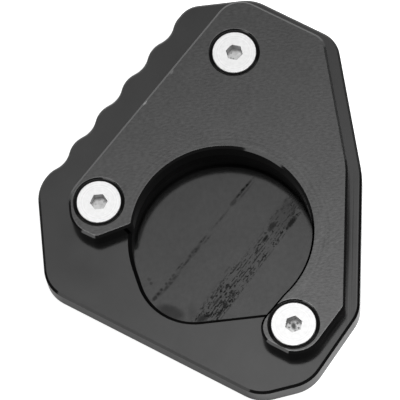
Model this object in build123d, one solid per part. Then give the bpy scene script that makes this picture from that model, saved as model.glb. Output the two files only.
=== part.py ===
from build123d import *

import os
from math import asin, cos, degrees, radians, sin, sqrt, tan

# Kickstand foot enlarger: a wide base plate with a pocket for the stand's foot, a clamp plate and screws.
# Frame: millimetres, +Z up. The origin is on the underside, below the centre of the stand's round foot.
# The straight toe of the foot lies along X on the -Y side, and the scalloped grip is on the far left.

# The stand's foot: round, with a flat toe and a tapered flank towards it
FOOT_RADIUS = 23.0
POCKET_CLEARANCE = 0.6
CUT_CLEARANCE = 0.1
TOE_FLAT = 1.6
TOE_TAPER_ANGLE = 12.5
TOE_ANGLE = 270.0
TOE_ROUND = 14.5

# Plates
BASE_THICKNESS = 7.0
POCKET_DEPTH = 4.5
BASE_TOP_CHAMFER = 0.65
BASE_FOOT_CHAMFER = 1.0
POCKET_CHAMFER = 1.0
CLAMP_THICKNESS = 5.0
CLAMP_CHAMFER = 0.6

# Base outline: metal between the foot and each straight side, and the angle that each side faces, in degrees
LAND_WEST = 23.7
LAND_SOUTHWEST = 9.97
LAND_SOUTH = 20.35
LAND_SOUTHEAST = 17.43
LAND_EAST = 12.36
LAND_NORTHEAST = 15.1
LAND_NORTH = 42.97
NORTH_LEFT = -3.12
NORTH_RIGHT = 14.2
WEST_ANGLE = 180.0
SOUTHWEST_ANGLE = 235.5
SOUTH_ANGLE = -81.8
SOUTHEAST_ANGLE = -39.7
EAST_ANGLE = -7.2
NORTHEAST_ANGLE = 3.6
NORTH_SLANT_ANGLE = 55.5
NORTH_ANGLE = 90.0
GRIP_ANGLE = 136.6
CORNER_ROUND = 10.0
GRIP_END_ROUND = 6.5
EAST_ROUND = 9.0
SOUTHWEST_ROUND = 9.2
NORTHEAST_ROUND = 8.0
SHALLOW_ROUND = 20.0

# Scalloped grip: a wave of equal arcs that fills its side, but for a short flat at each end
SCALLOPS = 5
SCALLOP_DEPTH = 1.24
GRIP_FLAT_NORTH = 1.3
GRIP_FLAT_WEST = 0.4

# Clamp outline: how far its sides lie inside the base's, and the metal of its ears beyond the countersinks
EAST_MARGIN = 3.51
NORTHEAST_MARGIN = 3.4
SLANT_MARGIN = 3.0
GRIP_LEDGE = 9.11
LEFT_EAR_WEST = 1.1
LEFT_EAR_TIP = 2.5
LEFT_EAR_ANGLE = 237.0
LEFT_EAR_TIP_ANGLE = 285.0
LEFT_EAR_TIP_ROUND = 2.5
BOTTOM_EAR_SOUTHWEST = 0.63
BOTTOM_EAR_END = 1.03
BOTTOM_EAR_SOUTHEAST = 1.32
BOTTOM_EAR_END_ANGLE = 258.0
BOTTOM_EAR_CORNER_ROUND = 1.0
CLAMP_SOUTHEAST_ANGLE = -41.5
FLANK_INSET = 0.18
FLANK_ANGLE = 135.0
FLANK_ROUND = 5.2
CLAMP_TOP_ROUND = 7.0
CLAMP_NORTHEAST_ROUND = 5.0
CLAMP_SOUTHEAST_ROUND = 2.0
CUT_TIP_ROUND = 1.5
CUT_FLANK_ROUND = 15.0

# Screws: countersunk with a hexagon socket, in plain holes in the clamp and tapped holes in the base
SCREW_SIZE = 6.0
SCREW_TIP_HEIGHT = 2.0
SCREW_TIP_CHAMFER = 0.8
HEAD_DIAMETER = 11.5
HEAD_EDGE_ROUND = 0.15
HEAD_MARGIN = 0.97
SOCKET_FLATS = 4.0
SOCKET_DEPTH = 2.4
SEAT_CLEARANCE = 0.05
HOLE_CLEARANCE = 0.3
THREAD_CLEARANCE = 0.05
HOLE_FOOT_CHAMFER = 0.5
# For each screw: two sides of the base and its axis's distance from each, then the socket's turn
SCREW_PLACES = {
    "left": ("grip", 17.02, "west", 16.0, -1.0),
    "top": ("north_slant", 17.4, "grip", 19.59, 40.0),
    "bottom": ("south", 14.57, "southeast", 11.23, 14.0),
}

STACK = BASE_THICKNESS + CLAMP_THICKNESS
FLOOR = BASE_THICKNESS - POCKET_DEPTH
HOLE_RADIUS = SCREW_SIZE / 2 + HOLE_CLEARANCE
THREAD_RADIUS = SCREW_SIZE / 2 + THREAD_CLEARANCE
SINK_RADIUS = HEAD_DIAMETER / 2 + HEAD_MARGIN
UP = (Align.CENTER, Align.CENTER, Align.MIN)


def facing(angle):
    """Unit vector that points the given way, in degrees from +X."""
    return Vector(cos(radians(angle)), sin(radians(angle)))


def meet(first, second):
    """Corner of two straight sides. A side starts with the way it faces and its distance from the centre."""
    a = radians(first[0])
    b = radians(second[0])
    x = first[1] * sin(b) - second[1] * sin(a)
    y = second[1] * cos(a) - first[1] * cos(b)
    return Vector(x, y) / sin(b - a)


def scallops(begin, finish):
    """The grip's wave between two points: a short flat at each end, and arcs that run into each other."""
    along = (finish - begin).normalized()
    inward = Vector(-along.Y, along.X)
    first = begin + along * GRIP_FLAT_NORTH
    last = finish - along * GRIP_FLAT_WEST
    pitch = (last - first).length / SCALLOPS
    half_way = first + inward * SCALLOP_DEPTH / 2
    stops = [half_way + along * pitch * (k + 0.5) / 2 for k in range(2 * SCALLOPS)]
    edges = [Line(begin, first)]
    for stop in stops + [last]:
        edges.append(TangentArc(edges[-1] @ 1, stop, tangent=edges[-1] % 1))
    return edges + [Line(last, finish)]


def outline(sides, grip=None):
    """Closed face inside the given sides, each (facing, distance, radius of the corner before it).

    The sides run anticlockwise. The side whose number is grip has the wave along it.
    """
    edges = []
    starts = []
    ends = []
    for before, side in zip([sides[-1]] + sides, sides):
        corner = meet(before, side)
        turn = (side[0] - before[0]) % 360
        reach = side[2] * tan(radians(turn / 2))
        starts.append(corner - facing(before[0] + 90) * reach)
        ends.append(corner + facing(side[0] + 90) * reach)
        if side[2] > 0:
            edges.append(TangentArc(starts[-1], ends[-1], tangent=facing(before[0] + 90)))
    for number, begin in enumerate(ends):
        finish = starts[(number + 1) % len(sides)]
        edges += scallops(begin, finish) if number == grip else [Line(begin, finish)]
    return make_face(edges)


def through(angle, point):
    """A side that faces the given way and passes through a point."""
    return (angle, point.dot(facing(angle)))


NORTH = FOOT_RADIUS + LAND_NORTH
BASE_SIDES = {
    "west": (WEST_ANGLE, FOOT_RADIUS + LAND_WEST),
    "southwest": (SOUTHWEST_ANGLE, FOOT_RADIUS + LAND_SOUTHWEST),
    "south": (SOUTH_ANGLE, FOOT_RADIUS + LAND_SOUTH),
    "southeast": (SOUTHEAST_ANGLE, FOOT_RADIUS + LAND_SOUTHEAST),
    "east": (EAST_ANGLE, FOOT_RADIUS + LAND_EAST),
    "northeast": (NORTHEAST_ANGLE, FOOT_RADIUS + LAND_NORTHEAST),
    "north_slant": through(NORTH_SLANT_ANGLE, Vector(NORTH_RIGHT, NORTH)),
    "north": (NORTH_ANGLE, NORTH),
    "grip": through(GRIP_ANGLE, Vector(NORTH_LEFT, NORTH)),
}
BASE_ROUNDS = {
    "southwest": SOUTHWEST_ROUND,
    "east": EAST_ROUND,
    "northeast": SHALLOW_ROUND,
    "north_slant": NORTHEAST_ROUND,
    "grip": GRIP_END_ROUND,
}


def inside(name, margin):
    """A side of the base plate, moved inwards by the given margin."""
    angle, distance = BASE_SIDES[name]
    return (angle, distance - margin)


def screw_axis(name):
    """Where a screw's axis stands in plan."""
    first, first_margin, second, second_margin, _ = SCREW_PLACES[name]
    return meet(inside(first, first_margin), inside(second, second_margin))


def ear_side(name, angle, metal):
    """A side of an ear, with the given metal between it and its screw's countersink."""
    return through(angle, screw_axis(name) + facing(angle) * (SINK_RADIUS + metal))


def base_sides():
    """Straight sides of the base plate with their corner rounds; the last one is the grip."""
    return [(*side, BASE_ROUNDS.get(name, CORNER_ROUND)) for name, side in BASE_SIDES.items()]


def clamp_sides():
    """Straight sides of the clamp plate with their corner rounds; the last one crosses the round cut.

    The first is the bottom ear's flank, a chord of the round cut. Both ears are rounded about their screws.
    """
    left_ear_round = SINK_RADIUS + LEFT_EAR_WEST
    bottom_ear_round = SINK_RADIUS + BOTTOM_EAR_END
    return [
        (FLANK_ANGLE, FLANK_INSET - FOOT_RADIUS - CUT_CLEARANCE, 0),
        (*ear_side("bottom", SOUTHWEST_ANGLE, BOTTOM_EAR_SOUTHWEST), FLANK_ROUND),
        (*ear_side("bottom", BOTTOM_EAR_END_ANGLE, BOTTOM_EAR_END), BOTTOM_EAR_CORNER_ROUND),
        (*ear_side("bottom", CLAMP_SOUTHEAST_ANGLE, BOTTOM_EAR_SOUTHEAST), bottom_ear_round),
        (*inside("east", EAST_MARGIN), CLAMP_SOUTHEAST_ROUND),
        (*inside("northeast", NORTHEAST_MARGIN), SHALLOW_ROUND),
        (*inside("north_slant", SLANT_MARGIN), CLAMP_NORTHEAST_ROUND),
        (*inside("grip", GRIP_LEDGE), CLAMP_TOP_ROUND),
        (*ear_side("left", WEST_ANGLE, LEFT_EAR_WEST), left_ear_round),
        (*ear_side("left", LEFT_EAR_ANGLE, LEFT_EAR_TIP), left_ear_round),
        (*ear_side("left", LEFT_EAR_TIP_ANGLE, LEFT_EAR_TIP), LEFT_EAR_TIP_ROUND),
        (FLANK_ANGLE + 90, 0, 0),
    ]


def pocket_face():
    """Plan of the foot pocket: the round foot, its tapered flank and the straight toe wall."""
    radius = FOOT_RADIUS + POCKET_CLEARANCE
    toe = FOOT_RADIUS - TOE_FLAT
    toe_end = Vector(sqrt(radius**2 - toe**2), -toe)
    start = -degrees(asin(toe / radius))
    flank_angle = WEST_ANGLE + TOE_TAPER_ANGLE
    flank_start = facing(flank_angle) * radius
    flank_way = facing(flank_angle + 90)
    corner = meet((flank_angle, radius), (TOE_ANGLE, toe))
    reach = TOE_ROUND * tan(radians(TOE_ANGLE - flank_angle) / 2)
    round_start = corner - flank_way * reach
    round_end = corner + facing(TOE_ANGLE + 90) * reach
    return make_face([
        CenterArc((0, 0), radius, start, flank_angle - start),
        Line(flank_start, round_start),
        TangentArc(round_start, round_end, tangent=flank_way),
        Line(round_end, toe_end),
    ])


def base_plate():
    """Base plate with chamfered edges, the foot pocket and three tapped holes right through."""
    sides = base_sides()
    plate = extrude(outline(sides, grip=len(sides) - 1), BASE_THICKNESS)
    plate = chamfer(plate.faces().sort_by(Axis.Z)[-1].outer_wire().edges(), BASE_TOP_CHAMFER)
    plate = chamfer(plate.faces().sort_by(Axis.Z)[0].outer_wire().edges(), BASE_FOOT_CHAMFER)
    plate -= Pos(0, 0, FLOOR) * extrude(pocket_face(), POCKET_DEPTH)
    plate = chamfer(plate.faces().sort_by(Axis.Z)[-1].inner_wires()[0].edges(), POCKET_CHAMFER)
    mouth = Cone(THREAD_RADIUS + HOLE_FOOT_CHAMFER, THREAD_RADIUS, HOLE_FOOT_CHAMFER, align=UP)
    for name in SCREW_PLACES:
        place = Pos(screw_axis(name))
        plate -= place * Cylinder(THREAD_RADIUS, BASE_THICKNESS, align=UP)
        plate -= place * mouth
    return plate


def rounded(face, place, radius):
    """The face with its corner nearest to the given place rounded."""
    corner = min(face.vertices(), key=lambda vertex: (Vector(vertex) - place).length)
    return fillet(corner, radius)


def clamp_face():
    """Plan of the clamp plate: its outline less the round cut, with both ends of the cut rounded."""
    radius = FOOT_RADIUS + CUT_CLEARANCE
    face = outline(clamp_sides()) - Circle(radius)
    face = rounded(face, facing(FLANK_ANGLE + 180) * radius, CUT_FLANK_ROUND)
    return rounded(face, facing(WEST_ANGLE) * radius, CUT_TIP_ROUND)


def clamp_plate():
    """Clamp plate with the open round cut, chamfered top edges and three countersunk holes."""
    plate = Pos(0, 0, BASE_THICKNESS) * extrude(clamp_face(), CLAMP_THICKNESS)
    plate = chamfer(plate.faces().sort_by(Axis.Z)[-1].outer_wire().edges(), CLAMP_CHAMFER)
    sink_depth = SINK_RADIUS - HOLE_RADIUS
    for name in SCREW_PLACES:
        place = Pos(screw_axis(name))
        plate -= place * Pos(0, 0, BASE_THICKNESS) * Cylinder(HOLE_RADIUS, CLAMP_THICKNESS, align=UP)
        plate -= place * Pos(0, 0, STACK - sink_depth) * Cone(HOLE_RADIUS, SINK_RADIUS, sink_depth, align=UP)
    return plate


def clamp_screw():
    """Countersunk screw with a hexagon socket, its flat top at Z 0 and its shank below."""
    head = HEAD_DIAMETER / 2
    shank = SCREW_SIZE / 2
    rim = HEAD_MARGIN - SEAT_CLEARANCE
    neck = rim + head - shank
    length = STACK - SCREW_TIP_HEIGHT
    profile = Polyline(
        (0, 0),
        (head, 0),
        (head, -rim),
        (shank, -neck),
        (shank, SCREW_TIP_CHAMFER - length),
        (shank - SCREW_TIP_CHAMFER, -length),
        (0, -length),
        close=True,
    )
    screw = revolve(Plane.XZ * make_face(profile), Axis.Z)
    screw = fillet(screw.edges().filter_by(GeomType.CIRCLE).group_by(Axis.Z)[-1], HEAD_EDGE_ROUND)
    socket = extrude(RegularPolygon(SOCKET_FLATS / 2, 6, major_radius=False), -SOCKET_DEPTH)
    return screw - socket


os.makedirs("parts", exist_ok=True)
export_step(base_plate(), "parts/base_plate.step")
export_step(clamp_plate(), "parts/clamp_plate.step")
for name, place in SCREW_PLACES.items():
    placed = Pos(screw_axis(name)) * Pos(0, 0, STACK) * Rot(0, 0, place[-1]) * clamp_screw()
    export_step(placed, f"parts/clamp_screw_{name}.step")
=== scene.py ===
from math import cos, pi, radians, sin

import bmesh
import bpy
from mathutils import Matrix, Vector


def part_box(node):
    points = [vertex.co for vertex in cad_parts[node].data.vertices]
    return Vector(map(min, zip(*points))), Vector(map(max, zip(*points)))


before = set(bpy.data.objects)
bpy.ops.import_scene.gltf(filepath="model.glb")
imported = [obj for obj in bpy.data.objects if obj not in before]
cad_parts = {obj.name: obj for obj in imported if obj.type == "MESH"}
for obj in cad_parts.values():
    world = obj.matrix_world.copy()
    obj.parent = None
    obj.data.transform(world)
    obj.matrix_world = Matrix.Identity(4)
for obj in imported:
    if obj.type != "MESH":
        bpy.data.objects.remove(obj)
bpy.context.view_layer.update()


# ---------------------------------------------------------------------------------------------
# The view. A long lens looks down on the part from its toe side, 21 degrees off the vertical,
# and turned a little to the left, so the plates lie as they would on a table in front of you.
# ---------------------------------------------------------------------------------------------
MM = 0.001
VIEW_AIM = Vector((-4.752, 9.358, 12.0)) * MM
VIEW_DISTANCE = 923.08 * MM
VIEW_TILT = radians(21.0)
VIEW_SIDE_TURN = radians(5.7)
VIEW_ROLL = radians(-6.1)
LENS_LENGTH = 324.0
SENSOR_WIDTH = 36.0
NEAREST_SEEN = 10.0 * MM

long_lens = bpy.data.cameras.new("long_lens")
long_lens.lens = LENS_LENGTH
long_lens.sensor_width = SENSOR_WIDTH
long_lens.clip_start = NEAREST_SEEN
camera = bpy.data.objects.new("long_lens", long_lens)
tilt_axis = Vector((cos(VIEW_SIDE_TURN), sin(VIEW_SIDE_TURN), 0.0))
view_turn = Matrix.Rotation(VIEW_TILT, 4, tilt_axis) @ Matrix.Rotation(VIEW_ROLL, 4, "Z")
view_place = VIEW_AIM + view_turn.to_3x3() @ Vector((0, 0, VIEW_DISTANCE))
camera.matrix_world = Matrix.Translation(view_place) @ view_turn
bpy.context.scene.collection.objects.link(camera)
bpy.context.scene.camera = camera


# ---------------------------------------------------------------------------------------------
# The floor. A round sheet of white board under the part, which runs out further to the right.
# It shines white to the eye, and keeps a faint shadow where the part stands on it.
# ---------------------------------------------------------------------------------------------
FLOOR_RADIUS = 250.0 * MM
FLOOR_MIDDLE = Vector((135.0, 55.0, -0.03)) * MM
FLOOR_SIDES = 96
FLOOR_GREY = 0.5
FLOOR_SHINE_SEEN = 0.92
FLOOR_SHINE_MIRRORED = 0.2


def node(tree, kind, inputs=None, **settings):
    """Add a node with the given settings. Its inputs are numbers, or the sockets that feed them."""
    made = tree.nodes.new(kind)
    for name, value in settings.items():
        setattr(made, name, value)
    for name, value in (inputs or {}).items():
        if isinstance(value, bpy.types.NodeSocket):
            tree.links.new(value, made.inputs[name])
        else:
            made.inputs[name].default_value = value
    return made


def maths(tree, operation, *values):
    """One step of arithmetic on numbers or sockets."""
    return node(tree, "ShaderNodeMath", dict(enumerate(values)), operation=operation).outputs[0]


def grey(level):
    """A neutral colour."""
    return (level, level, level, 1)


floor_shape = bmesh.new()
bmesh.ops.create_circle(floor_shape, cap_ends=True, segments=FLOOR_SIDES, radius=FLOOR_RADIUS)
bmesh.ops.translate(floor_shape, verts=floor_shape.verts, vec=FLOOR_MIDDLE)
floor_mesh = bpy.data.meshes.new("white_board")
floor_shape.to_mesh(floor_mesh)
floor_shape.free()
floor = bpy.data.objects.new("white_board", floor_mesh)
bpy.context.scene.collection.objects.link(floor)

board = bpy.data.materials.new("white_board")
board.use_nodes = True
tree = board.node_tree
tree.nodes.clear()
path = node(tree, "ShaderNodeLightPath").outputs
mirrored = maths(tree, "MAXIMUM", path["Is Glossy Ray"], path["Is Transmission Ray"])
seen_shine = maths(tree, "MULTIPLY", path["Is Camera Ray"], FLOOR_SHINE_SEEN)
shine = maths(tree, "MULTIPLY_ADD", mirrored, FLOOR_SHINE_MIRRORED, seen_shine)
paper = node(tree, "ShaderNodeBsdfDiffuse", {"Color": grey(FLOOR_GREY)})
glow = node(tree, "ShaderNodeEmission", {"Color": grey(1), "Strength": shine})
both = node(tree, "ShaderNodeAddShader", {0: paper.outputs[0], 1: glow.outputs[0]})
node(tree, "ShaderNodeOutputMaterial", {"Surface": both.outputs[0]})
floor.data.materials.append(board)


# ---------------------------------------------------------------------------------------------
# The light. One soft light hangs overhead, a little behind the part, and fades out towards the
# horizon. A low white card stands in front on the left, and a side lamp lights the floor.
# ---------------------------------------------------------------------------------------------
OVERHEAD_RIGHT = radians(0.5)
OVERHEAD_BACK = radians(12.0)
OVERHEAD_LEVEL = 3.4
# Angle from the middle of the light, in degrees, and its level there as a share of the full one
OVERHEAD_FADE = [
    (0, 1.0), (4, 0.97), (5.5, 0.838), (7.5, 0.603), (9.4, 0.406), (12.8, 0.235), (17, 0.16),
    (21.4, 0.155), (33, 0.15), (45, 0.085), (60, 0.0353), (90, 0.0294), (110, 0.0088),
]
BACKGROUND_LEVEL = 1.0
CARD_TURN = radians(223.0)
CARD_HEIGHT = radians(17.0)
CARD_DISTANCE = 0.3
CARD_SIZE = (0.17, 0.1)
CARD_POWER = 0.068
SIDE_LAMP_PLACE = Vector((0.64, 0.05, 0.77))
SIDE_LAMP_SIZE = 0.4
SIDE_LAMP_POWER = 11.8

studio = bpy.data.worlds.new("studio")
studio.use_nodes = True
bpy.context.scene.world = studio
tree = studio.node_tree
tree.nodes.clear()
way = node(tree, "ShaderNodeTexCoord").outputs["Generated"]
overhead_way = Vector((sin(OVERHEAD_RIGHT), sin(OVERHEAD_BACK), cos(OVERHEAD_BACK))).normalized()
nearness = node(tree, "ShaderNodeVectorMath", {0: way, 1: overhead_way}, operation="DOT_PRODUCT")
turned = maths(tree, "DIVIDE", maths(tree, "ARCCOSINE", nearness.outputs["Value"]), pi)
fade = node(tree, "ShaderNodeValToRGB", {"Fac": turned})
# New stops start in the middle of the ramp, and each is then set to its angle
while len(fade.color_ramp.elements) < len(OVERHEAD_FADE):
    fade.color_ramp.elements.new(0.5)
for stop, (angle, share) in zip(fade.color_ramp.elements, OVERHEAD_FADE):
    stop.position = angle / 180
    stop.color = grey(share)
lit = {"Color": fade.outputs["Color"], "Strength": OVERHEAD_LEVEL}
overhead = node(tree, "ShaderNodeBackground", lit)
white = node(tree, "ShaderNodeBackground", {"Color": grey(1), "Strength": BACKGROUND_LEVEL})
seen = node(tree, "ShaderNodeLightPath").outputs["Is Camera Ray"]
sky = node(tree, "ShaderNodeMixShader", {0: seen, 1: overhead.outputs[0], 2: white.outputs[0]})
node(tree, "ShaderNodeOutputWorld", {"Surface": sky.outputs[0]})

card_light = bpy.data.lights.new("low_card", "AREA")
card_light.shape = "RECTANGLE"
card_light.size, card_light.size_y = CARD_SIZE
card_light.energy = CARD_POWER
card = bpy.data.objects.new("low_card", card_light)
card_level_way = Vector((cos(CARD_TURN), sin(CARD_TURN), 0.0))
card_way = card_level_way * cos(CARD_HEIGHT) + Vector((0.0, 0.0, sin(CARD_HEIGHT)))
card.location = card_way * CARD_DISTANCE
card.rotation_euler = card_way.to_track_quat("Z", "Y").to_euler()
bpy.context.scene.collection.objects.link(card)

side_light = bpy.data.lights.new("side_lamp", "AREA")
side_light.size = SIDE_LAMP_SIZE
side_light.energy = SIDE_LAMP_POWER
side_lamp = bpy.data.objects.new("side_lamp", side_light)
side_lamp.location = SIDE_LAMP_PLACE
side_lamp.rotation_euler = SIDE_LAMP_PLACE.to_track_quat("Z", "Y").to_euler()
side_lamp.visible_glossy = False
bpy.context.scene.collection.objects.link(side_lamp)


# ---------------------------------------------------------------------------------------------
# The base plate. Milled from one aluminium plate and black anodised all over, so it has a soft
# mirror finish. A stand's foot has rubbed its pocket, which has dark streaks and a long scratch.
# ---------------------------------------------------------------------------------------------
def new_finish(name):
    """An empty material, its nodes, and the place on the part in millimetres."""
    finish = bpy.data.materials.new(name)
    finish.use_nodes = True
    tree = finish.node_tree
    tree.nodes.clear()
    metres = node(tree, "ShaderNodeTexCoord").outputs["Object"]
    place = node(tree, "ShaderNodeVectorMath", {0: metres, "Scale": 1 / MM}, operation="SCALE")
    return finish, tree, place.outputs["Vector"]


def parts_of(tree, vector):
    """The three numbers of a vector."""
    return node(tree, "ShaderNodeSeparateXYZ", {0: vector}).outputs


def facing(tree):
    """The way that each face looks, as three numbers: to the right, to the back and up."""
    return parts_of(tree, node(tree, "ShaderNodeNewGeometry").outputs["Normal"])


def ease(tree, value, start, end, full=1.0):
    """A value that rises smoothly from 0 at start to the full one at end."""
    ends = {"Value": value, "From Min": start, "From Max": end, "To Max": full}
    return node(tree, "ShaderNodeMapRange", ends, interpolation_type="SMOOTHSTEP").outputs[0]


def between(tree, share, low, high):
    """The value that lies the given share of the way from low to high."""
    ends = {"Value": share, "To Min": low, "To Max": high}
    return node(tree, "ShaderNodeMapRange", ends).outputs[0]


def times(tree, first, *others):
    """The product of all the values."""
    for other in others:
        first = maths(tree, "MULTIPLY", first, other)
    return first


def plus(tree, first, *others):
    """The sum of all the values."""
    for other in others:
        first = maths(tree, "ADD", first, other)
    return first


def rest_of(tree, share):
    """What a share leaves of the whole."""
    return maths(tree, "SUBTRACT", 1.0, share)


def most(tree, *marks):
    """The strongest of several marks at each place."""
    strongest = marks[0]
    for mark in marks[1:]:
        strongest = maths(tree, "MAXIMUM", strongest, mark)
    return strongest


def laid(tree, place, middle, turn=0.0, size=(1.0, 1.0, 1.0)):
    """The place, counted from a middle along turned axes, in steps of the given size."""
    axes = {"Vector": place, "Location": (*middle, 0.0), "Rotation": (0.0, 0.0, turn)}
    axes["Scale"] = size
    return node(tree, "ShaderNodeMapping", axes, vector_type="TEXTURE").outputs[0]


def grain(tree, place, scale, detail=2.0, roughness=0.5):
    """Cloudy noise from 0 to 1. The scale counts its clouds per millimetre, on one or each axis."""
    if isinstance(scale, tuple):
        stretched = {0: place, 1: (*scale, 1.0)}
        place = node(tree, "ShaderNodeVectorMath", stretched, operation="MULTIPLY").outputs[0]
        scale = 1.0
    inputs = {"Vector": place, "Scale": scale, "Detail": detail, "Roughness": roughness}
    return node(tree, "ShaderNodeTexNoise", inputs).outputs[0]


def lines_of(tree, distance, scale, detail):
    """Noise from 0 to 1 that changes with one distance only, so it draws lines."""
    inputs = {"W": distance, "Scale": scale, "Detail": detail}
    return node(tree, "ShaderNodeTexNoise", inputs, noise_dimensions="1D").outputs[0]


def centred(tree, noise):
    """Noise that swings about 0 instead of about its middle."""
    return maths(tree, "SUBTRACT", noise, 0.5)


def shaken(tree, place, scale, reach):
    """The place, moved about a little by noise, so that a mark laid on it gets a ragged edge."""
    clouds = {"Vector": place, "Scale": scale, "Detail": 2.0}
    noise = {0: node(tree, "ShaderNodeTexNoise", clouds).outputs["Color"], 1: (0.5, 0.5, 0.5)}
    moved = node(tree, "ShaderNodeVectorMath", noise, operation="SUBTRACT").outputs[0]
    steps = {0: moved, 1: (reach, reach, reach), 2: place}
    return node(tree, "ShaderNodeVectorMath", steps, operation="MULTIPLY_ADD").outputs[0]


def spot(tree, place, middle, turn, half_length, half_width, edge=0.4, strength=1.0):
    """An oval mark with a soft edge, which runs right through the plate. It is 0 outside."""
    through = 1000.0
    shrunk = laid(tree, place, middle, turn, (half_length, half_width, through))
    far = node(tree, "ShaderNodeVectorMath", {0: shrunk}, operation="LENGTH").outputs["Value"]
    return ease(tree, far, 1.0, edge, strength)


def marked(tree, place, marks, edge):
    """The strongest of a list of straight oval marks."""
    strongest = 0.0
    for along, across, half_length, half_width, strength in marks:
        mark = spot(tree, place, (along, across), 0.0, half_length, half_width, edge, strength)
        strongest = most(tree, mark, strongest)
    return strongest


def metal(tree, tone, roughness, bump, bump_depth, metallic=1.0):
    """Close a finish: a metal of the given tone and roughness, with a fine relief."""
    relief = {"Height": bump, "Strength": 1.0, "Distance": bump_depth}
    normal = node(tree, "ShaderNodeBump", relief).outputs[0]
    inputs = {"Base Color": tone, "Roughness": roughness, "Normal": normal, "Metallic": metallic}
    shader = node(tree, "ShaderNodeBsdfPrincipled", inputs)
    node(tree, "ShaderNodeOutputMaterial", {"Surface": shader.outputs[0]})


def dress(name, finish):
    """Give a plate or screw its finish."""
    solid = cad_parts[name]
    solid.data.materials.clear()
    solid.data.materials.append(finish)


# Faces are told apart by their slope, and the pocket's floor from the top by its height. These
# pairs, and those of each edge, fade and step below, say where it starts and where it is full.
# A grain is counted in clouds per millimetre, along one or each axis. Sizes are in millimetres.
LEVEL_FACE = (0.8, 0.98)
POCKET_HEIGHT = (4.0, 3.5)

base_finish, tree, place = new_finish("black_anodised_base")
_, y, height = parts_of(tree, place)
right, _, up = facing(tree)
flat = ease(tree, up, *LEVEL_FACE)
in_pocket = ease(tree, height, *POCKET_HEIGHT)
pocket_floor = times(tree, flat, in_pocket)
rim_top = times(tree, flat, rest_of(tree, in_pocket))

# The rubbed band in the pocket: a point on it, its turn, and its sides as counted across it.
# Its left side lies further out at the lower end.
BAND_MIDDLE = (6.8, -5.7)
BAND_TURN = radians(48.3)
BAND_RIGHT = (-2.8, -1.9)
BAND_LEFT_HIGH = 3.8
BAND_LEFT_LOW = 4.6
BAND_LEFT_STEP = (0.5, -4.0)
BAND_LEFT_FADE = (0.0, 2.2)
# Its lines: the gap between them, where they start, their width, and how they waver and break
LINE_GAP = 0.71
LINE_START = 0.14
LINE_EDGE = (0.22, 0.04)
LINE_STRENGTH = 0.8
LINE_WAVER = 0.5
LINE_WAVER_GRAIN = (0.12, 0.4)
LINE_BREAKS = (0.42, 0.58)
LINE_BREAK_GRAIN = (0.9, 1.4)
# Its specks, which crowd in a row on the right and at the lower end
SPECK_GRAIN = (1.1, 1.8)
SPECK_GRAIN_ROUGHNESS = 0.6
SPECK_ROW = -1.5
SPECK_ROW_EDGE = (1.0, 0.2)
SPECK_ROW_STRENGTH = 0.7
SPECK_LOW_END = (-3.0, -12.0)
SPECK_LEVEL_SPARSE = 0.62
SPECK_LEVEL_CROWDED = 0.535
SPECK_EDGE = (-0.04, 0.08)
SPECK_STRENGTH = 0.95
# Its dark dashes, as: along, across, half length, half width, strength
BAND_DASHES = [
    (-18.8, 1.3, 1.1, 0.7, 0.6), (-14.0, 1.3, 1.4, 0.5, 0.6), (-9.0, 1.45, 1.1, 0.6, 0.8),
    (-13.5, -1.05, 1.2, 0.6, 0.8), (-9.9, -1.05, 1.2, 0.5, 0.8), (-16.1, -1.3, 1.0, 0.4, 0.6),
    (-11.1, 3.1, 0.9, 0.3, 0.5), (-5.5, 4.2, 1.6, 0.35, 0.3), (-2.6, -1.4, 0.7, 0.6, 0.6),
    (-5.0, -2.0, 0.6, 0.4, 0.6), (-3.7, 2.8, 2.2, 0.35, 0.45), (3.05, 0.95, 1.1, 0.35, 0.8),
    (7.1, 1.17, 1.5, 0.5, 0.9), (8.3, 2.0, 0.5, 0.5, 0.6), (10.8, 1.7, 2.1, 1.1, 0.72),
    (7.4, -2.0, 0.35, 0.4, 0.8), (8.6, -1.9, 0.35, 0.35, 0.7), (6.4, -1.9, 0.3, 0.3, 0.6),
    (14.6, -1.8, 2.6, 1.0, 0.9), (14.0, 0.8, 6.5, 3.4, 0.2), (13.7, -0.1, 0.7, 0.3, 0.5),
    (18.6, 3.0, 1.2, 0.4, 0.5), (18.3, 1.6, 1.5, 0.45, 0.5), (18.0, 0.2, 1.4, 0.45, 0.5),
    (16.5, 2.4, 1.2, 0.5, 0.5), (17.5, 1.2, 4.0, 3.0, 0.3), (16.8, -0.6, 1.6, 0.5, 0.6),
    (14.6, 3.0, 1.2, 0.4, 0.5), (12.6, 3.2, 1.0, 0.35, 0.45),
]
DASH_EDGE = 0.4
# Ragged edges: the clouds per millimetre that shake a mark, and how far they move it
MARK_SHAKE = (1.7, 0.9)

rough_place = shaken(tree, place, *MARK_SHAKE)
band_place = laid(tree, place, BAND_MIDDLE, BAND_TURN)
along, across, _ = parts_of(tree, band_place)
left_side = between(tree, ease(tree, along, *BAND_LEFT_STEP), BAND_LEFT_HIGH, BAND_LEFT_LOW)
in_band = ease(tree, maths(tree, "SUBTRACT", left_side, across), *BAND_LEFT_FADE)
in_band = times(tree, in_band, ease(tree, across, *BAND_RIGHT))
waver = times(tree, centred(tree, grain(tree, band_place, LINE_WAVER_GRAIN)), LINE_WAVER)
off_line = maths(tree, "PINGPONG", plus(tree, across, LINE_START, waver), LINE_GAP / 2)
broken = ease(tree, grain(tree, band_place, LINE_BREAK_GRAIN), *LINE_BREAKS)
line_marks = times(tree, ease(tree, off_line, *LINE_EDGE, LINE_STRENGTH), broken)
off_row = maths(tree, "ABSOLUTE", maths(tree, "SUBTRACT", across, SPECK_ROW))
right_row = ease(tree, off_row, *SPECK_ROW_EDGE, SPECK_ROW_STRENGTH)
crowd = most(tree, right_row, ease(tree, along, *SPECK_LOW_END))
speck_level = between(tree, crowd, SPECK_LEVEL_SPARSE, SPECK_LEVEL_CROWDED)
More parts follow.
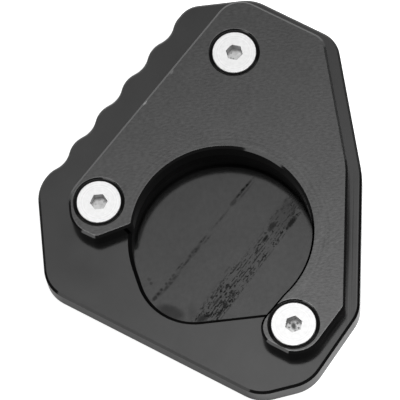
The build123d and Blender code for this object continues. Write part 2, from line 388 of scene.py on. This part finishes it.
specks = grain(tree, band_place, SPECK_GRAIN, roughness=SPECK_GRAIN_ROUGHNESS)
over_level = maths(tree, "SUBTRACT", specks, speck_level)
speck_marks = ease(tree, over_level, *SPECK_EDGE, SPECK_STRENGTH)
dashes = marked(tree, laid(tree, rough_place, BAND_MIDDLE, BAND_TURN), BAND_DASHES, DASH_EDGE)
rubbed = most(tree, times(tree, in_band, most(tree, line_marks, speck_marks)), dashes)

# The scratch: a point on it, its turn, its long runs, and the dots on it and beside it
SCRATCH_MIDDLE = (-5.0, 2.55)
SCRATCH_TURN = radians(45.5)
SCRATCH_RUNS = [
    (-19.0, -0.4, 2.6, 0.9, 0.5), (-15.0, -0.95, 5.8, 0.8, 0.5), (-9.9, 0.0, 2.2, 0.35, 0.6),
    (-8.5, -0.65, 3.5, 0.5, 0.5), (-4.8, -0.45, 4.2, 0.95, 0.55), (-0.8, -0.1, 2.2, 0.5, 0.6),
    (0.3, -0.95, 2.4, 0.4, 0.5), (6.5, -0.15, 5.0, 0.5, 0.42), (16.0, 0.28, 7.0, 0.55, 0.75),
    (16.0, -0.55, 5.5, 0.4, 0.4),
]
RUN_EDGE = 0.2
SCRATCH_DOTS = [
    (-20.6, -0.4, 1.2, 0.75, 0.65), (-19.2, -0.35, 0.7, 0.65, 0.75),
    (-17.8, -0.3, 0.6, 0.55, 0.65), (-15.8, -0.2, 0.5, 0.5, 0.5), (-14.2, -0.3, 0.5, 0.5, 0.5),
    (-12.9, -0.25, 0.7, 0.5, 0.45), (-5.3, -0.4, 0.4, 0.4, 0.3), (-1.2, -0.1, 0.4, 0.4, 0.3),
    (12.2, 0.1, 1.8, 0.9, 0.5), (14.2, 0.3, 0.8, 0.35, 0.6), (16.3, 0.4, 0.9, 0.5, 1.0),
    (18.0, 0.3, 0.75, 0.46, 1.0), (-18.1, 2.9, 0.6, 0.6, 0.45), (-17.6, 4.0, 0.6, 0.8, 0.3),
]
DOT_EDGE = 0.4
DOT_SHAKE = (2.5, 0.35)
# Its runs are broken up by grain, which leaves from the first to the second share of them
RUN_GRAIN = (1.4, 0.9)
RUN_BREAKS = (0.36, 0.58)
RUN_SHARES = (0.45, 1.15)
# Soft smears: middle, turn, half length, half width, softness of the edge, strength
TOE_SMEAR = ((-15.4, -16.7), radians(-28.0), 5.2, 2.5, 0.4, 0.52)
TOE_HAZE = ((-10.0, -17.5), radians(80.0), 4.0, 2.4, 0.0, 0.22)
TOE_BLOT = ((-7.6, -19.4), radians(20.0), 2.4, 1.2, 0.3, 0.7)

scratch_place = laid(tree, place, SCRATCH_MIDDLE, SCRATCH_TURN)
runs = marked(tree, scratch_place, SCRATCH_RUNS, RUN_EDGE)
run_breaks = ease(tree, grain(tree, scratch_place, RUN_GRAIN), *RUN_BREAKS)
dot_place = laid(tree, shaken(tree, place, *DOT_SHAKE), SCRATCH_MIDDLE, SCRATCH_TURN)
dots = marked(tree, dot_place, SCRATCH_DOTS, DOT_EDGE)
scratch = most(tree, times(tree, runs, between(tree, run_breaks, *RUN_SHARES)), dots)
smears = most(tree, spot(tree, rough_place, *TOE_SMEAR), spot(tree, place, *TOE_HAZE))
smears = most(tree, smears, spot(tree, rough_place, *TOE_BLOT))
marks = times(tree, most(tree, rubbed, scratch, smears), pocket_floor)

# Cutter lines on the right margin: the way they are counted, where they start and where they fade
MARGIN_TURN = radians(-7.2)
MARGIN_START = (31.5, 32.1)
MARGIN_FADE = (18.0, 2.0)
MARGIN_LINES = 2.6
# Painted shade on the top: two faint painted dark reflections by the left ear, a strip of painted
# shade beside the clamp plate's right wall, and a thin darker line next to it
TOP_PAINTED_SHADE_AND_LINE = [
    ((-40.0, 5.5), radians(80.0), 8.0, 5.5, 0.0, 0.08),
    ((-36.0, -5.5), radians(-25.0), 10.0, 6.0, 0.0, 0.08),
    ((31.7, -3.4), radians(82.8), 22.0, 1.1, 0.2, 0.65),
    ((33.05, -3.6), radians(82.8), 22.0, 0.28, 0.2, 0.3),
]
# Painted shade: the foot of the outer walls is darker, up to this height, where the part stands on
# the floor
FOOT_SHADE_HEIGHT = (1.35, 1.0)
FOOT_SHADE_SLOPE = (0.3, 0.1)
FOOT_SHADE_STRENGTH = 0.35
CLOUD_GRAIN = 0.11
MOTTLE_GRAIN = 0.9

margin_way = {0: place, 1: Vector((cos(MARGIN_TURN), sin(MARGIN_TURN), 0.0))}
across_margin = node(tree, "ShaderNodeVectorMath", margin_way, operation="DOT_PRODUCT")
across_margin = across_margin.outputs["Value"]
margin_lines = lines_of(tree, across_margin, MARGIN_LINES, detail=1.0)
on_margin = times(tree, ease(tree, across_margin, *MARGIN_START), ease(tree, y, *MARGIN_FADE))
on_margin = times(tree, on_margin, rim_top)
clouds = centred(tree, grain(tree, place, CLOUD_GRAIN, detail=4.0))
mottle = centred(tree, grain(tree, place, MOTTLE_GRAIN, detail=3.0))
# Painted dark reflections and painted shade on the top, and a thin darker line
top_painted_shade_and_line = times(tree, most(tree, *[spot(tree, place, *smear) for smear in TOP_PAINTED_SHADE_AND_LINE]), rim_top)
# Painted shade along the foot of the outer walls
painted_foot_shade = times(tree, ease(tree, height, *FOOT_SHADE_HEIGHT), ease(tree, up, *FOOT_SHADE_SLOPE))
painted_foot_shade = times(tree, painted_foot_shade, FOOT_SHADE_STRENGTH)

# The tones of the top and the pocket, and what the lines, clouds and marks make of them
BASE_TONE = 0.0462
POCKET_TONE = 0.0426
MARGIN_SHARE = 0.7
CLOUD_SHARE = 0.22
MOTTLE_SHARE = 0.09
POCKET_MOTTLE_SHARE = 0.34
MARK_GAIN = 0.18
# Painted shade: the sides that face right are darker
RIGHT_SHADE_SLOPE = (0.5, 0.62)
RIGHT_SIDE_SHADE_GAIN = 0.6
# The black layer scatters a trace of the light
BASE_METALLIC = 0.96

line_share = times(tree, centred(tree, margin_lines), on_margin, MARGIN_SHARE)
mottle_share = between(tree, pocket_floor, MOTTLE_SHARE, POCKET_MOTTLE_SHARE)
tone = plus(tree, times(tree, clouds, CLOUD_SHARE), times(tree, mottle, mottle_share))
tone = plus(tree, 1.0, plus(tree, line_share, tone))
tone = times(tree, tone, between(tree, marks, 1.0, MARK_GAIN), rest_of(tree, top_painted_shade_and_line))
tone = times(tree, tone, rest_of(tree, painted_foot_shade))
tone = times(tree, tone, between(tree, pocket_floor, BASE_TONE, POCKET_TONE))
# Painted shade on the sides that face right
tone = times(tree, tone, between(tree, ease(tree, right, *RIGHT_SHADE_SLOPE), 1.0, RIGHT_SIDE_SHADE_GAIN))

# How dull each kind of face is, and the fine grain that breaks up its gloss and its relief
BASE_TOP_ROUGHNESS = 0.17
POCKET_ROUGHNESS = 0.13
WALL_ROUGHNESS = 0.1
POCKET_WALL_ROUGHNESS = 0.35
POCKET_WALL = ((0.0, 0.0), 0.0, 26.0, 26.0, 0.97)
MARK_ROUGHNESS = 0.3
FINE_GRAIN = 2.2
FINE_GLOSS = 0.06
RELIEF_DEPTH = 0.0012 * MM
MARGIN_RELIEF = 1.5
# A thin line that is rubbed dull, beside the lower right wall of the clamp plate
FOOT_RUB = ((25.85, -28.1), radians(48.5), 6.5, 0.55, 0.2, 1.0)
RUB_ROUGHNESS = 0.5

dull = between(tree, flat, WALL_ROUGHNESS, BASE_TOP_ROUGHNESS)
dull = between(tree, pocket_floor, dull, POCKET_ROUGHNESS)
pocket_wall = times(tree, spot(tree, place, *POCKET_WALL), rest_of(tree, flat))
dull = between(tree, pocket_wall, dull, POCKET_WALL_ROUGHNESS)
fine = grain(tree, place, FINE_GRAIN)
dull = plus(tree, dull, times(tree, centred(tree, fine), FINE_GLOSS))
dull = between(tree, marks, dull, MARK_ROUGHNESS)
foot_rub = times(tree, spot(tree, place, *FOOT_RUB), rim_top)
dull = between(tree, foot_rub, dull, RUB_ROUGHNESS)
relief = plus(tree, fine, times(tree, margin_lines, on_margin, MARGIN_RELIEF))
metal(tree, tone, dull, relief, RELIEF_DEPTH, BASE_METALLIC)
dress("base_plate", base_finish)


# ---------------------------------------------------------------------------------------------
# The clamp plate. The same milled and anodised aluminium, a little brighter, with faint lines
# from the cutter round its cut-out. It lies flat on the base plate and is held by three screws.
# ---------------------------------------------------------------------------------------------
CLAMP_TONE = 0.069
CLAMP_ROUGHNESS = 0.16
CLAMP_LINE_RELIEF = 3.0
# Rings round the cut-out: where they start and are full, and their steps outward and round it
RING_REACH = (31.0, 24.1)
RING_STEPS = (1.7, 2.2)
RING_SHARE = 0.55
# Hatching beside the cut-out's right side
HATCH_MIDDLE = (26.8, -5.0)
HATCH_TURN = radians(36.0)
HATCH_GRAIN = (0.22, 1.5)
HATCH_HALF_SIZE = (6.0, 8.0)
HATCH_EDGE = 0.2
HATCH_SHARE = 0.6
BRUSH_GRAIN = (0.9, 2.2)
BRUSH_SHARE = 0.8
CLAMP_CLOUD_GRAIN = 0.16
CLAMP_CLOUD_SHARE = 0.2
# Chips on the long left edge, where the bare metal shows: place, half length, strength
EDGE_CHIPS = [((-16.46, 37.84), 1.1, 1.0), ((-8.7, 45.64), 0.9, 0.45)]
CHIP_TURN = radians(46.6)
CHIP_HALF_WIDTH = 0.38
CHIP_EDGE = 0.3
CHIP_SHAKE = (2.5, 0.6)
CHIP_TONE = 0.2
# Painted highlight: the edges that face the toe side are made lighter over this width, where they
# would catch the overhead light. The edge of the cut-out gets less of it, and only on its left.
EDGE_HIGHLIGHT_WIDTH = 0.5 * MM
EDGE_HIGHLIGHT_SLOPE = (-0.05, -0.3)
EDGE_HIGHLIGHT_RADIUS = (24.0, 25.0)
EDGE_HIGHLIGHT_LEFT = (5.0, 2.0)
EDGE_HIGHLIGHT_LEFT_STRENGTH = 0.6
EDGE_HIGHLIGHT_GAIN = 2.6
# Painted highlight: the chamfers that face the back are made brighter
FAR_CHAMFER_BACK = (0.25, 0.35)
FAR_CHAMFER_UP = (0.55, 0.65)
FAR_CHAMFER_HIGHLIGHT_GAIN = 1.8


def radius_of(tree, x, y):
    """The distance from the upright axis."""
    return maths(tree, "SQRT", plus(tree, times(tree, x, x), times(tree, y, y)))


clamp_finish, tree, place = new_finish("black_anodised_clamp")
x, y, _ = parts_of(tree, place)
_, back, up = facing(tree)
flat = ease(tree, up, *LEVEL_FACE)
radius = radius_of(tree, x, y)
bearing = maths(tree, "ARCTAN2", y, x)
steps = {0: times(tree, radius, RING_STEPS[0]), 1: times(tree, bearing, RING_STEPS[1])}
polar = node(tree, "ShaderNodeCombineXYZ", steps).outputs[0]
rings = centred(tree, grain(tree, polar, 1.0, detail=1.0))
near_cut = ease(tree, radius, *RING_REACH)
hatch = centred(tree, grain(tree, laid(tree, place, HATCH_MIDDLE, HATCH_TURN), HATCH_GRAIN))
in_hatch = spot(tree, place, HATCH_MIDDLE, 0.0, *HATCH_HALF_SIZE, HATCH_EDGE)
brushed = centred(tree, grain(tree, place, BRUSH_GRAIN))
clouds = centred(tree, grain(tree, place, CLAMP_CLOUD_GRAIN, detail=4.0))
lines = times(tree, rings, near_cut, RING_SHARE)
lines = plus(tree, lines, times(tree, hatch, in_hatch, HATCH_SHARE))
faint = plus(tree, times(tree, brushed, BRUSH_SHARE), times(tree, clouds, CLAMP_CLOUD_SHARE))
lines = times(tree, plus(tree, lines, faint), flat)
tone = times(tree, plus(tree, 1.0, lines), CLAMP_TONE)
chip_place = shaken(tree, place, *CHIP_SHAKE)
chips = most(tree, *[
    spot(tree, chip_place, middle, CHIP_TURN, half_length, CHIP_HALF_WIDTH, CHIP_EDGE, strength)
    for middle, half_length, strength in EDGE_CHIPS
])
tone = between(tree, chips, tone, CHIP_TONE)
# Painted highlight along the edges that face the toe side
rounded = node(tree, "ShaderNodeBevel", {"Radius": EDGE_HIGHLIGHT_WIDTH}, samples=4).outputs[0]
to_toe = ease(tree, parts_of(tree, rounded)[1], *EDGE_HIGHLIGHT_SLOPE)
left_of_cut = ease(tree, x, *EDGE_HIGHLIGHT_LEFT, EDGE_HIGHLIGHT_LEFT_STRENGTH)
edge_highlight_place = most(tree, ease(tree, radius, *EDGE_HIGHLIGHT_RADIUS), left_of_cut)
painted_edge_highlight = times(tree, to_toe, edge_highlight_place, flat)
tone = times(tree, tone, between(tree, painted_edge_highlight, 1.0, EDGE_HIGHLIGHT_GAIN))
# Painted highlight on the chamfers that face the back
far_chamfer_highlight = times(tree, ease(tree, back, *FAR_CHAMFER_BACK), ease(tree, up, *FAR_CHAMFER_UP))
tone = times(tree, tone, between(tree, far_chamfer_highlight, 1.0, FAR_CHAMFER_HIGHLIGHT_GAIN))
fine = grain(tree, place, FINE_GRAIN)
dull = between(tree, flat, WALL_ROUGHNESS, CLAMP_ROUGHNESS)
dull = plus(tree, dull, times(tree, centred(tree, fine), FINE_GLOSS))
relief = plus(tree, fine, times(tree, lines, CLAMP_LINE_RELIEF))
metal(tree, tone, dull, relief, RELIEF_DEPTH)
dress("clamp_plate", clamp_finish)


# ---------------------------------------------------------------------------------------------
# The clamp screws. Three bright stainless countersunk screws with hexagon sockets, turned and
# left plain. They sit just clear of the countersinks and hold the plates together.
# ---------------------------------------------------------------------------------------------
STEEL_TONE = 0.92
STEEL_ROUGHNESS = 0.365
STEEL_CLOUD_GRAIN = 1.1
STEEL_CLOUD_SHARE = 0.2
# Turning marks, per millimetre from the screw's axis
TURNING_LINES = 3.2
TURNING_SHARE = 0.18
TURNING_GLOSS = 0.12
TURNING_RELIEF = 0.004
# The socket: heights below the head's top, reach from the axis, floor, and the tones inside it,
# which are darker as painted shade
SOCKET_SUNK = (11.95, 11.5)
SOCKET_REACH = (2.8, 2.6)
SOCKET_FLOOR = (9.75, 9.65)
SOCKET_FLOOR_SHADE_TONE = 0.6
SOCKET_WALL_SHADE_TONE = 0.85
SOCKET_CLOUD_SHARE = 0.6
SOCKET_ROUGHNESS = 0.36
# Painted shade: the socket's floor is darker near its walls
FLOOR_RIM = (1.5, 2.1)
FLOOR_RIM_SHADE_STRENGTH = 0.15
# Dark spots in the sockets, the big middle one in the bottom socket painted shade of its drill
# point:
# place from the screw's axis, half length, half width, strength
SOCKET_DARK_SPOTS = {
    "clamp_screw_left": [(1.2, 0.8, 0.3, 0.3, 0.4), (-1.0, 0.3, 0.5, 0.4, 0.25)],
    "clamp_screw_top": [
        (-0.45, -0.8, 0.35, 0.3, 0.6), (-1.1, -0.5, 0.3, 0.35, 0.5), (-0.9, 0.9, 0.4, 0.4, 0.4),
    ],
    "clamp_screw_bottom": [
        (-0.05, 0.3, 0.95, 1.4, 0.85), (-1.2, 0.0, 0.4, 0.4, 0.85), (1.15, -0.4, 0.35, 0.4, 0.8),
        (0.95, 0.9, 0.5, 0.5, 0.7), (0.2, -1.1, 0.4, 0.4, 0.6), (-1.0, 1.1, 0.45, 0.5, 0.7),
    ],
}
SOCKET_SPOT_EDGE = 0.3
SOCKET_SPOT_SHAKE = (2.6, 0.5)
# The thread is relief on the shank: its reach from the axis, the heights where it starts, its pitch
SHANK_REACH = (3.15, 3.05)
SHANK_TOP = (8.4, 8.0)
THREAD_PITCH = 1.0
THREAD_DEPTH = 0.6 * MM


def turned_steel(screw):
    """Bright steel with turning marks about the screw's axis, and a socket darkened with painted
    shade and dark spots.
    """
    low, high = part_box(screw)
    axis = (Vector(low) + Vector(high)) / 2 / MM
    finish, tree, place = new_finish("bright_stainless_" + screw.split("_")[-1])
    screw_place = laid(tree, place, (axis.x, axis.y))
    x, y, height = parts_of(tree, screw_place)
    radius = radius_of(tree, x, y)
    rings = centred(tree, lines_of(tree, radius, TURNING_LINES, detail=2.0))
    clouds = centred(tree, grain(tree, place, STEEL_CLOUD_GRAIN, detail=3.0))
    in_socket = times(tree, ease(tree, height, *SOCKET_SUNK), ease(tree, radius, *SOCKET_REACH))

    tone = plus(tree, times(tree, rings, TURNING_SHARE), times(tree, clouds, STEEL_CLOUD_SHARE))
    tone = plus(tree, STEEL_TONE, tone)
    on_floor = ease(tree, height, *SOCKET_FLOOR)
    # Painted shade on the socket's floor beside its walls
    painted_wall_shade = times(tree, on_floor, ease(tree, radius, *FLOOR_RIM, FLOOR_RIM_SHADE_STRENGTH))
    # Dark spots in the socket, the middle one of the bottom socket painted shade
    socket_spot_place = shaken(tree, screw_place, *SOCKET_SPOT_SHAKE)
    socket_spots = marked(tree, socket_spot_place, SOCKET_DARK_SPOTS[screw], SOCKET_SPOT_EDGE)
    # Painted shade: the socket's wall and floor are darker than the head
    shaded_socket_tone = between(tree, on_floor, SOCKET_WALL_SHADE_TONE, SOCKET_FLOOR_SHADE_TONE)
    shaded_socket_tone = plus(tree, shaded_socket_tone, times(tree, clouds, SOCKET_CLOUD_SHARE))
    shaded_socket_tone = times(tree, shaded_socket_tone, rest_of(tree, painted_wall_shade), rest_of(tree, socket_spots))
    tone = between(tree, in_socket, tone, shaded_socket_tone)
    dull = plus(tree, STEEL_ROUGHNESS, times(tree, rings, TURNING_GLOSS))
    dull = between(tree, in_socket, dull, SOCKET_ROUGHNESS)

    turns = maths(tree, "DIVIDE", maths(tree, "ARCTAN2", y, x), 2 * pi)
    rise = plus(tree, maths(tree, "DIVIDE", height, THREAD_PITCH), turns)
    on_shank = times(tree, ease(tree, radius, *SHANK_REACH), ease(tree, height, *SHANK_TOP))
    thread = times(tree, maths(tree, "PINGPONG", rise, 0.5), on_shank)
    relief = plus(tree, times(tree, rings, TURNING_RELIEF), thread)
    metal(tree, tone, dull, relief, THREAD_DEPTH)
    return finish


for screw in ("clamp_screw_left", "clamp_screw_top", "clamp_screw_bottom"):
    dress(screw, turned_steel(screw))


# Plain picture tones.
bpy.context.scene.view_settings.view_transform = "Standard"
